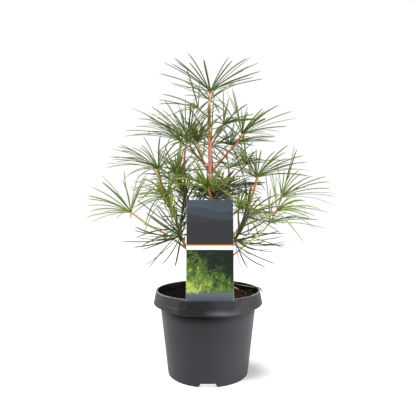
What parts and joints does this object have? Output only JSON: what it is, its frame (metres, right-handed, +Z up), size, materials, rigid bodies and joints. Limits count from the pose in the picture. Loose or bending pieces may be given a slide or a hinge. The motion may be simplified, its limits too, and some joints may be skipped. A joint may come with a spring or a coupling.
{
  "type": "potted umbrella pine",
  "caption": "Young umbrella pine with whorls of long needles on branching stems, growing in a round nursery pot with soil and a plain upright card label.",
  "frame": {"origin": "on the floor under the middle of the pot", "axes": "+Z up, -Y towards the side with the card label, +X to the right of someone who faces the label"},
  "size_m": [0.4468, 0.3041, 0.5799],
  "materials": {
    "pot_plastic": "satin anthracite polypropylene",
    "soil": "moist dark potting soil with bark chips",
    "label_card": "satin printed plastic card",
    "straw": "dry pale needle",
    "bark": "matte thin bark",
    "red_bark": "matte thin bark",
    "orange_bark": "matte thin bark",
    "green_shoot": "smooth young shoot",
    "leaf": "waxy satin needle",
    "dark_leaf": "waxy satin needle",
    "bright_leaf": "waxy satin needle"
  },
  "bodies": {
    "root": {"pot": "pot_plastic", "soil": "soil", "label": "label_card", "dry_needle": "straw", "fallen_twig": "red_bark", "trunk": "bark", "left_limb": "orange_bark", "right_limb": "orange_bark", "left_upper_stem": "red_bark", "left_green_stem": "green_shoot", "left_inner_stem": "red_bark", "inner_stem": "bark", "right_upper_stem": "red_bark", "right_inner_stem": "red_bark", "upper_right_stem": "orange_bark", "crown_twig": "red_bark", "left_low_stem": "green_shoot", "front_stem": "orange_bark", "right_far_back_stem": "green_shoot", "right_far_stem": "green_shoot", "right_low_stem": "green_shoot", "front_right_stem": "orange_bark", "back_right_stem": "bark", "right_inner_twig": "red_bark", "back_upper_stem": "red_bark", "back_left_stem": "orange_bark", "back_stem": "bark", "back_low_stem": "green_shoot", "top_whorl": "leaf", "crown_lower_whorl": "dark_leaf", "crown_side_whorl": "leaf", "upper_right_whorl": "leaf", "right_upper_whorl": "leaf", "right_inner_whorl": "dark_leaf", "left_upper_whorl": "leaf", "left_upper_back_whorl": "leaf", "left_inner_whorl": "leaf", "inner_whorl": "leaf", "left_mid_whorl": "leaf", "right_mid_whorl": "leaf", "left_low_whorl": "bright_leaf", "left_lower_whorl": "bright_leaf", "front_whorl": "bright_leaf", "left_inner_low_whorl": "leaf", "low_left_whorl": "dark_leaf", "right_inner_low_whorl": "leaf", "right_far_back_whorl": "leaf", "right_far_whorl": "bright_leaf", "right_low_whorl": "leaf", "front_right_whorl": "bright_leaf", "low_right_whorl": "dark_leaf", "back_right_low_whorl": "dark_leaf", "back_right_whorl": "leaf", "trunk_whorl": "dark_leaf", "back_upper_whorl": "leaf", "back_left_whorl": "leaf", "back_left_low_whorl": "dark_leaf", "back_whorl": "leaf", "back_low_whorl": "dark_leaf"}
  },
  "joints": []
}
